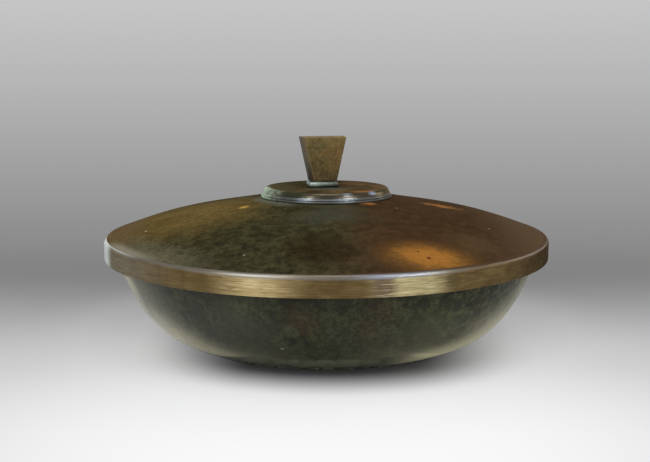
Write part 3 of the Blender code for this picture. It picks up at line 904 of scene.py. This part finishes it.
# Boss: moulded disc on the crown, verdigris on its bevel
bossLook = {
    "bevel": 0.0018, "step": 0.0009, "bead": 0.0011, "lip": 0.0005, "topAngle": -24, "sideAngle": -74,
    "pull": 0.36, "ease": 0.0002, "waver": 0.00006, "seed": 7.0, "waverScale": 60.0, "sharpAngle": 0.9,
    "topTilt": 2.5, "steelShare": 0.6, "beadShare": 0.4, "litShare": 0.6, "mintShare": 0.95,
    "deepShare": 0.8,
    "brown": tone(100, 79, 54), "dark": tone(54, 46, 31), "mint": tone(156, 170, 146),
    "deep": tone(44, 50, 36), "steel": tone(82, 79, 68), "silver": tone(138, 145, 148),
    "rust": tone(140, 98, 56), "gleam": tone(198, 212, 230), "olive": tone(84, 82, 54),
    "grey": tone(74, 76, 66), "pale": tone(206, 224, 206),
    "sheen": (0.8, 0.68, 0.5, 1.0),
    "cloud": {"scale": 90, "detail": 4, "rough": 0.6, "warp": 0.6},
    "fine": {"scale": 480, "detail": 4, "rough": 0.65},
    "crust": {"scale": 240, "detail": 3, "rough": 0.6, "shift": (0.4, 0.2, 0.1)},
    "greySpot": spots((0.001, -0.0105, 0.0815),
                      reach=0.015, edge=0.007, ragged=0.006, stretch=(1, 1.9, 1), share=0.75),
    "litLeft": spots((-0.0113, -0.0335, 0.0787), reach=0.0075, edge=0.006),
    "litRight": spots((0.0100, -0.0338, 0.0787), reach=0.0085, edge=0.007),
    "mintSpot": spots((-0.0325, -0.0120, 0.0795), reach=0.0182, edge=0.013, ragged=0.016),
    "deepSpot": spots((-0.0175, -0.0300, 0.0795), reach=0.0095, edge=0.006, ragged=0.009),
    "gleamLeft": spots((0.0115, -0.0335, 0.0807),
                       reach=0.0046, edge=0.0038, ragged=0.002, stretch=(1, 1, 2.4), share=0.5),
    "gleamRight": spots((0.0255, -0.0251, 0.0803),
                        reach=0.0045, edge=0.0035, ragged=0.002, stretch=(1, 1, 2.4)),
    "rustSpot": spots((0.020, -0.0235, 0.0808),
                      reach=0.010, edge=0.009, ragged=0.007, stretch=(1, 1.4, 1), share=0.7),
    "edgeRadii": (0.0322, 0.0332), "beadRadii": (0.0345, 0.0348), "oliveLeft": (-0.006, -0.028, 0.55),
    "mintRadii": (0.0298, 0.0322), "paleLeft": (-0.0306, -0.0338, 0.0, 0.7),
    "gleamRadii": (0.0314, 0.0322, 0.0, 0.8), "brownBreak": (0.43, 0.63),
    "crustBreak": (0.36, 0.56, 0.45, 1.0),
}


def bossFinish(look):
    material, surface, place = newFinish("bossPatina")
    x, reach = place.axis("X"), radiusOf(place)
    edge, bead = fade(reach, *look["edgeRadii"]), fade(reach, *look["beadRadii"])
    cloud, fine = grain(place, **look["cloud"]), grain(place, **look["fine"])
    top = cloud * 0.6 + fine * 0.4 + x * look["topTilt"]
    colour = blend(fade(top, *look["brownBreak"]), look["dark"], look["brown"])
    colour = paintAlong(colour, look["olive"], x, look["oliveLeft"])
    # grey on the top in front of the plinth: painted reflection of the plinth
    colour = paintSpots(colour, look["grey"], place, look["greySpot"], fine)
    colour = blend(edge * look["steelShare"], colour, look["steel"])
    # silver bead, brighter at two spots: painted highlights
    lit = spotMask(place, look["litLeft"]).maths("MAXIMUM", spotMask(place, look["litRight"]))
    colour = blend(bead * (lit * look["litShare"] + look["beadShare"]), colour, look["silver"])
    mint = spotMask(place, look["mintSpot"], fine) * fade(reach, *look["mintRadii"])
    mint = mint * fade(grain(place, **look["crust"]), *look["crustBreak"])
    colour = blend(mint * look["mintShare"], colour, look["mint"])
    colour = blend(fade(x, *look["paleLeft"]) * edge, colour, look["pale"])
    deep = spotMask(place, look["deepSpot"], fine) * edge * (1 - bead)
    colour = blend(deep * look["deepShare"], colour, look["deep"])
    # bright gleams on the bevel's upper edge: painted highlights
    gleam = spotMask(place, look["gleamLeft"], fine)
    gleam = gleam.maths("MAXIMUM", spotMask(place, look["gleamRight"], fine))
    colour = blend(gleam * fade(reach, *look["gleamRadii"]), colour, look["gleam"])
    colour = blend(spotMask(place, look["rustSpot"], fine) * (1 - edge), colour, look["rust"])
    rough = 0.38 + (fine - 0.5) * (1 - edge) * 0.16 - edge * 0.1 + mint * 0.2 + deep * 0.2
    wireUp(surface, colour=colour, roughness=rough, metallic=0.04 + edge * 0.55 - mint * 0.5 - deep * 0.5,
           normal=setBump(fine * (1 - edge), depth=0.0001, strength=0.4), specular=0.0, tint=look["sheen"])
    return material


def bossOutline(look):
    base, top, edge, bore = bossLow.z, bossHigh.z, bossHigh.x, lidLook["bore"]
    stepTop = base + look["step"]
    beadTop = stepTop + look["bead"]
    groove = edge - look["lip"] - look["bead"] / 2
    pull = look["pull"] * (top - beadTop)
    bevel = pulledLine((groove - look["bevel"], top), look["topAngle"], pull,
                       (groove, beadTop), look["sideAngle"], pull, count=14)
    foot = [(groove, stepTop), (edge, stepTop), (edge, base), (bore, base)]
    start = (bore, (base + top) / 2)
    return [
        start, (bore, top), *bevel[:-1],
        *arcLine((groove, stepTop + look["bead"] / 2), look["bead"] / 2, 90, -90, count=12),
        *softCorners(foot, [1, 2], look["ease"], count=3)[1:], start,
    ]


bossPatina = bossFinish(bossLook)
turnPiece("boss", bossOutline(bossLook), bossLook, bossPatina, "knob_boss", "lid")


# Knob and plinth: tapered block on a green plate
knobLook = {
    "topWidth": 0.0250, "topDepth": 0.0096, "footWidth": 0.0147, "footDepth": 0.0082, "round": 0.0004,
    "turnAngle": 11.5, "offset": -0.0021, "waver": 0.0002, "seed": 11.0, "boreDepth": 0.0123,
    "flankShare": 0.75,
    "olive": tone(126, 107, 67), "dark": tone(78, 65, 39), "edge": tone(142, 124, 84),
    "foot": tone(74, 62, 42), "flank": tone(102, 94, 76), "shade": tone(46, 41, 29),
    "mossy": tone(96, 90, 50), "warm": tone(128, 100, 58),
    "mottle": {"scale": 330, "detail": 5, "rough": 0.66, "warp": 0.4},
    "fine": {"scale": 1100, "detail": 3, "rough": 0.6},
    "cloud": {"scale": 110, "detail": 4, "rough": 0.6},
    "mossCloud": {"scale": 75, "detail": 3, "rough": 0.5, "shift": (0.2, 0.5, 0.1)},
    "warmCloud": {"scale": 85, "detail": 3, "rough": 0.5, "shift": (0.6, 0.1, 0.8)},
    "footRise": (0.012, 0.0, 0.6), "topDrop": (-0.009, 0.0, 0.25), "topEdge": (-0.0009, -0.0003, 0.4),
    "sideEdge": (-0.0008, -0.0004, 0.4), "flankIn": (-0.0003, -0.0001),
    "shadeRise": (0.014, 0.003, 0.0, 0.75), "oliveBreak": (0.41, 0.59), "mossBreak": (0.42, 0.6, 0.45),
    "warmBreak": (0.46, 0.62, 0.5), "pitBreak": (0.44, 0.34, 0.7), "rubBreak": (0.54, 0.68, 0.5),
}
plinthLook = {
    "footWidth": 0.0165, "footDepth": 0.0116, "round": 0.0013, "waver": 0.00012, "seed": 13.0,
    "paleDrift": 0.006,
    "green": tone(116, 129, 119), "dark": tone(72, 78, 70), "pale": tone(206, 218, 208),
    "dim": tone(62, 57, 46),
    "cloud": {"scale": 260, "detail": 4, "rough": 0.6, "warp": 0.5},
    "fine": {"scale": 1100, "detail": 3, "rough": 0.6},
    "paleLeft": (-0.0015, -0.0065, 0.4), "dimRight": (-0.002, 0.0072, 0.85),
    "dimLow": (0.0015, 0.0, 0.6), "greenBreak": (0.36, 0.64), "paleBreak": (0.58, 0.7, 0.3),
}
knobLow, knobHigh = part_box("knob_block")
plinthLow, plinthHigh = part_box("knob_plinth")


def knobFinish(look):
    material, surface, place = newFinish("knobPatina")
    z, turn = place.axis("Z"), math.radians(look["turnAngle"])
    rise, drop = z - knobLow.z, z - knobHigh.z
    mottle, fine, cloud = (grain(place, **look[name]) for name in ("mottle", "fine", "cloud"))
    colour = blend(fade(cloud * 0.4 + mottle * 0.6, *look["oliveBreak"]), look["dark"], look["olive"])
    colour = paintAlong(colour, look["mossy"], grain(place, **look["mossCloud"]), look["mossBreak"])
    colour = paintAlong(colour, look["warm"], grain(place, **look["warmCloud"]), look["warmBreak"])
    # darker toward the foot: painted shade
    colour = paintAlong(colour, look["foot"], rise, look["footRise"])
    colour = paintAlong(colour, look["foot"], fine, look["pitBreak"])
    colour = paintAlong(colour, look["edge"], fine, look["rubBreak"])
    # lighter toward the top: painted light from above
    colour = paintAlong(colour, look["edge"], drop, look["topDrop"])
    # a light line along the top edges: painted highlight
    colour = paintAlong(colour, look["edge"], drop, look["topEdge"])
    along = place.axis("X") * math.cos(turn) + (place.axis("Y") - look["offset"]) * math.sin(turn)
    taper = (look["topWidth"] - look["footWidth"]) / 2 / (knobHigh.z - knobLow.z)
    inset = along.maths("ABSOLUTE") - rise * taper - look["footWidth"] / 2
    # a light line along the side edges: painted highlight
    colour = paintAlong(colour, look["edge"], inset, look["sideEdge"])
    # the side faces: a greyer tone, painted shade, darker still toward the foot
    flank = fade(inset, *look["flankIn"])
    colour = blend(flank * look["flankShare"], colour, look["flank"])
    colour = blend(flank * fade(rise, *look["shadeRise"]), colour, look["shade"])
    wireUp(surface, colour=colour, roughness=0.38 + mottle * 0.12, metallic=0.45, specular=0.15,
           normal=setBump(mottle * 0.6 + fine * 0.4, depth=0.0001, strength=0.4))
    return material


def plinthFinish(look):
    material, surface, place = newFinish("plinthPatina")
    x = place.axis("X")
    cloud, fine = grain(place, **look["cloud"]), grain(place, **look["fine"])
    colour = blend(fade(cloud, *look["greenBreak"]), look["dark"], look["green"])
    # lighter at the left: painted light
    colour = paintAlong(colour, look["pale"], x + (cloud - 0.5) * look["paleDrift"], look["paleLeft"])
    colour = paintAlong(colour, look["pale"], fine, look["paleBreak"])
    # darker at the right and toward the bottom: painted shade
    colour = paintAlong(colour, look["dim"], x, look["dimRight"])
    colour = paintAlong(colour, look["dim"], place.axis("Z") - plinthLow.z, look["dimLow"])
    wireUp(surface, colour=colour, roughness=0.34 + cloud * 0.2, metallic=0.25, specular=0.4, coat=0.15,
           coatRough=0.2, normal=setBump(cloud * 0.5 + fine * 0.5, depth=0.00012, strength=0.5))
    return material


# Where no top is given, the block is as wide as its foot
def blockPiece(name, look, low, high, finish, node):
    past = blockFixed["drillPast"]
    values = {
        "topWidth": look["footWidth"], "topDepth": look["footDepth"], **look, "finish": finish,
        "height": high.z - low.z, "base": low.z, "turn": math.radians(knobLook["turnAngle"]),
        "offset": knobLook["offset"], "boreRadius": lidLook["bore"],
        "boreTop": min(knobLow.z + knobLook["boreDepth"], high.z + past),
    }
    return makePiece(name, block, [(0, 0, 0)], values, node, "lid")


plinthPatina = plinthFinish(plinthLook)
knobPatina = knobFinish(knobLook)
blockPiece("plinth", plinthLook, plinthLow, plinthHigh, plinthPatina, "knob_plinth")
blockPiece("knob", knobLook, knobLow, knobHigh, knobPatina, "knob_block")


# Stud, washer and nut under the crown
fixingLook = {
    "bright": tone(196, 166, 100), "dull": tone(140, 116, 68),
    "fine": {"scale": 700, "detail": 3, "rough": 0.6},
    "cloud": {"scale": 200, "detail": 3, "rough": 0.6},
    "brightBreak": (0.35, 0.65),
}
studLook = {
    "threadDepth": 0.0004, "threadPitch": 0.0008, "ease": 0.0004, "tipIn": 0.0006, "steps": 48,
    "rowsPerTurn": 6, "sharpAngle": 1.2,
}
washerLook = {"round": 0.0002, "steps": 120}
nutLook = {
    "chamfer": 0.0007, "chamferSlope": 0.58, "chamferRows": 4, "ease": 0.0003, "steps": 120,
    "sharpAngle": 0.5,
}


def fixingFinish(look):
    material, surface, place = newFinish("fixingBrass")
    fine, cloud = grain(place, **look["fine"]), grain(place, **look["cloud"])
    colour = blend(fade(cloud, *look["brightBreak"]), look["dull"], look["bright"])
    wireUp(surface, colour=colour, roughness=0.28 + fine * 0.16, metallic=0.95,
           normal=setBump(fine, depth=0.00005, strength=0.4))
    return material


fixingBrass = fixingFinish(fixingLook)
studLow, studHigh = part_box("knob_stud")
washerLow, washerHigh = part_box("knob_washer")
nutLow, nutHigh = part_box("knob_nut")


def studOutline(look):
    radius, ease = studHigh.x, look["ease"]
    tip = radius - look["tipIn"]
    length = studHigh.z - studLow.z - 2 * ease
    rows = round(length / look["threadPitch"] * look["rowsPerTurn"])
    thread = [(radius, studLow.z + ease + length * row / rows, 1.0) for row in range(rows + 1)]
    return [(0.0, studLow.z), (tip, studLow.z), *thread, (tip, studHigh.z), (0.0, studHigh.z)]


def washerOutline(look):
    edge, bore = washerHigh.x, lidLook["bore"]
    corners = [(edge, washerHigh.z), (edge, washerLow.z), (bore, washerLow.z), (bore, washerHigh.z)]
    return closedLine(corners, look["round"], count=3)


def nutOutline(look):
    corner, chamfer, ease = max(nutHigh.x, nutHigh.y), look["chamfer"], look["ease"]
    low, high, bore = nutLow.z, nutHigh.z, lidLook["bore"]
    drop, rows = chamfer * look["chamferSlope"], look["chamferRows"]
    start = (bore, low + ease)
    under = [(corner - chamfer * (1 - row / rows), low + drop * row / rows) for row in range(rows + 1)]
    over = [(corner - chamfer * row / rows, high - drop * (1 - row / rows)) for row in range(rows + 1)]
    return [start, (bore + ease, low), *under, *over, (bore + ease, high), (bore, high - ease), start]


nutLook["halfFlats"] = min(nutHigh.x, nutHigh.y)
turnPiece("stud", studOutline(studLook), studLook, fixingBrass, "knob_stud", "lid")
turnPiece("washer", washerOutline(washerLook), washerLook, fixingBrass,
          "knob_washer", "lid")
turnPiece("nut", nutOutline(nutLook), nutLook, fixingBrass, "knob_nut", "lid")


# Floor: pale in front, greyer behind the bowl, with a soft shadow close round the foot
stageLook = {
    "size": 60.0, "front": 0.95, "shade": 0.233, "far": 0.472, "frontAt": -0.205, "shadeAt": 0.165,
    "farStart": 0.19, "farRun": 0.8, "pool": 0.13, "fanStart": 0.55, "fanLeast": 0.05, "squeeze": 0.93,
    "shadowAt": 0.0032, "shadow": 0.035, "halo": 0.08, "glow": 0.8, "plain": 0.55, "rough": 0.9,
    "poolFade": (0.0, 0.03, 1.0, 0.77), "fanSpread": (0.95, 0.42), "fanFront": (-0.05, 0.15),
    "fanRadii": (0.85, 0.28), "haloRadii": (0.18, 0.10), "haloFront": (-0.09, -0.02),
    "shadowRadii": (0.118, 0.081), "sideFade": (0.1132, 0.0392), "glowRadii": (0.12, 0.4),
}


# Grey level of the floor, with a painted pool of light in front, a painted halo of light beside the bowl and
# a painted shadow round the foot, and how far each place is from the foot
def floorLevel(look, place):
    x, y = place.axis("X"), place.axis("Y")
    near = fade(y, look["frontAt"], look["shadeAt"], look["front"], look["shade"])
    past = (y - look["farStart"]).maths("MAXIMUM", 0.0) / look["farRun"]
    # a painted pool of light on the floor in front
    ahead = y + look["pool"]
    level = (near - look["shade"]) * fade(x * x + ahead * ahead, *look["poolFade"]) + look["shade"]
    level = level + (1 - 1 / (past + 1)) * (look["far"] - look["shade"])
    spread = x.maths("ABSOLUTE") / (y + look["fanStart"]).maths("MAXIMUM", look["fanLeast"])
    fan = fade(spread, *look["fanSpread"]) * fade(y, *look["fanFront"])
    fan = fan.maths("MAXIMUM", fade(radiusOf(place), *look["fanRadii"]))
    level = (level - look["far"]) * fan + look["far"]
    aside = (x - look["shadowAt"]).maths("ABSOLUTE")
    wide = aside * look["squeeze"]
    away = (wide * wide + y * y).maths("SQRT")
    # a painted halo of light on the floor beside the bowl
    level = level + fade(away, *look["haloRadii"]) * fade(y, *look["haloFront"]) * look["halo"]
    shade = fade(away, *look["shadowRadii"]) * fade(aside, *look["sideFade"])
    return level * (1 - shade * (1 - look["shadow"])), away


def floorFinish(look):
    material, surface, place = newFinish("paleFloor")
    tree = place.tree
    level, away = floorLevel(look, place)
    plain = level.maths("MAXIMUM", fade(away, *look["haloRadii"], 0.0, look["plain"]))
    wireUp(surface, colour=joinAxes(plain, plain, plain), roughness=look["rough"], specular=0.0)
    seen = Wire.add(tree, "ShaderNodeLightPath", output="Is Camera Ray")
    for kind in ("Is Glossy Ray", "Is Transmission Ray"):
        seen = seen.maths("MAXIMUM", Wire.add(tree, "ShaderNodeLightPath", output=kind))
    light = Wire.add(tree, "ShaderNodeEmission", {}, {"Color": joinAxes(level, level, level)})
    clear = fade(away, *look["glowRadii"], look["glow"], 1.0) * seen
    matt = Wire(tree, surface.outputs["BSDF"])
    mixed = Wire.add(tree, "ShaderNodeMixShader", {}, {0: clear, 1: matt, 2: light})
    Wire.feed(tree, tree.nodes["Material Output"].inputs["Surface"], mixed)
    return material


def makeFloor(look):
    half = look["size"] / 2
    corners = [(-half, -half, 0), (half, -half, 0), (half, half, 0), (-half, half, 0)]
    mesh = bpy.data.meshes.new("floor")
    mesh.from_pydata(corners, [], [(0, 1, 2, 3)])
    mesh.materials.append(floorFinish(look))
    floor = bpy.data.objects.new("floor", mesh)
    bpy.context.scene.collection.objects.link(floor)


makeFloor(stageLook)

# Lamps: place, size and power in watts, all aimed at the bowl
lampAim = Vector((0, 0, 0.05))
lampLook = {
    "top": {"place": (0.0, -0.15, 1.20), "size": (0.5, 0.5), "power": 5.0, "colour": (0.97, 0.98, 1.0)},
    "left": {"place": (-0.50, -0.69, 0.62), "size": (0.28, 0.45), "power": 4.0, "colour": (0.96, 0.98, 1.0)},
    "right": {"place": (0.58, -0.62, 0.62), "size": (0.28, 0.45), "power": 4.0, "colour": (0.96, 0.98, 1.0)},
    "side": {"place": (0.90, 0.45, 0.45), "size": (0.25, 0.25), "power": 1.2, "colour": (0.96, 0.98, 1.0)},
    "warm": {"place": (0.25, 0.54, 0.66), "size": (0.22, 0.10), "power": 0.35, "colour": (1.0, 0.62, 0.30)},
}
for name, look in lampLook.items():
    lamp = bpy.data.lights.new(name, "AREA")
    lamp.shape = "RECTANGLE"
    lamp.size, lamp.size_y = look["size"]
    lamp.energy = look["power"]
    lamp.color = look["colour"]
    holder = bpy.data.objects.new(name, lamp)
    holder.location = look["place"]
    holder.rotation_euler = (lampAim - Vector(look["place"])).to_track_quat("-Z", "Y").to_euler()
    bpy.context.scene.collection.objects.link(holder)

# World: pale grey along the horizon, paler just above it, darker overhead
worldLook = {"horizon": 0.472, "low": 0.58, "high": 0.16, "lowRise": 0.09, "highRise": (0.10, 0.32)}
world = bpy.data.worlds.new("studio")
world.use_nodes = True
bpy.context.scene.world = world
skyTree = world.node_tree
rise = Wire.add(skyTree, "ShaderNodeTexCoord", output="Generated").axis("Z")
lowShare = (rise / worldLook["lowRise"]).maths("MAXIMUM", 0.0).maths("MINIMUM", 1.0)
level = lowShare * (worldLook["low"] - worldLook["horizon"]) + worldLook["horizon"]
level = level + fade(rise, *worldLook["highRise"], 0.0, worldLook["high"] - worldLook["low"])
Wire.feed(skyTree, skyTree.nodes["Background"].inputs["Color"], joinAxes(level, level, level))

# Camera: slightly above the lid, looking a little down
cameraLook = {
    "place": (-0.00071, -0.52568, 0.1403),
    "down": 9.0986, "lens": 53.316, "sensor": 36.0, "clipStart": 0.01,
}
lens = bpy.data.cameras.new("camera")
lens.lens = cameraLook["lens"]
lens.sensor_width = cameraLook["sensor"]
lens.clip_start = cameraLook["clipStart"]
camera = bpy.data.objects.new("camera", lens)
camera.location = cameraLook["place"]
camera.rotation_euler = (math.radians(90 - cameraLook["down"]), 0, 0)
bpy.context.scene.collection.objects.link(camera)
bpy.context.scene.camera = camera
bpy.context.scene.view_settings.view_transform = "Standard"
print("stage, lamps and camera set")
